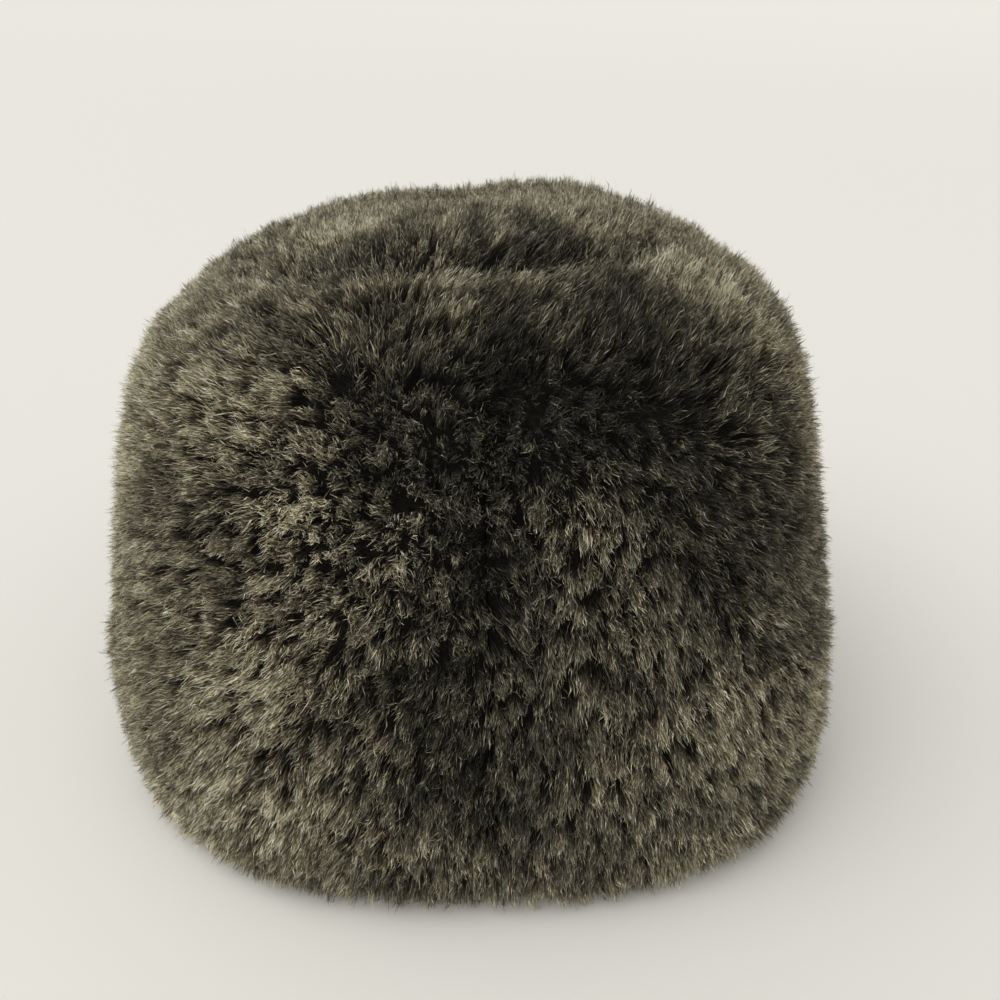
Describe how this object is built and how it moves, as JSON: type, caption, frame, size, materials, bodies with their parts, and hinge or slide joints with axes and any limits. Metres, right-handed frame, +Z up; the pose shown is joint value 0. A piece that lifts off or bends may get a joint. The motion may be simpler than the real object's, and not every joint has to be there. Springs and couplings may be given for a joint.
{
  "type": "papakha",
  "caption": "Tall rounded fur hat: a deep-pile sheepskin side band sewn front and back, with a low domed crown sewn into its upper edge. Hollow and open below.",
  "frame": {"origin": "middle of the hat's outline, on the surface that its lower edge stands on", "axes": "+Z up, -Y towards the wearer's front, +X to the wearer's left"},
  "size_m": [0.216, 0.2308, 0.1547],
  "materials": {
    "fur": "dense sheared sheepskin pile, grey-brown, soft sheen, dark between the locks"
  },
  "bodies": {
    "root": {"band_left": "fur", "band_right": "fur", "crown": "fur"}
  },
  "joints": []
}
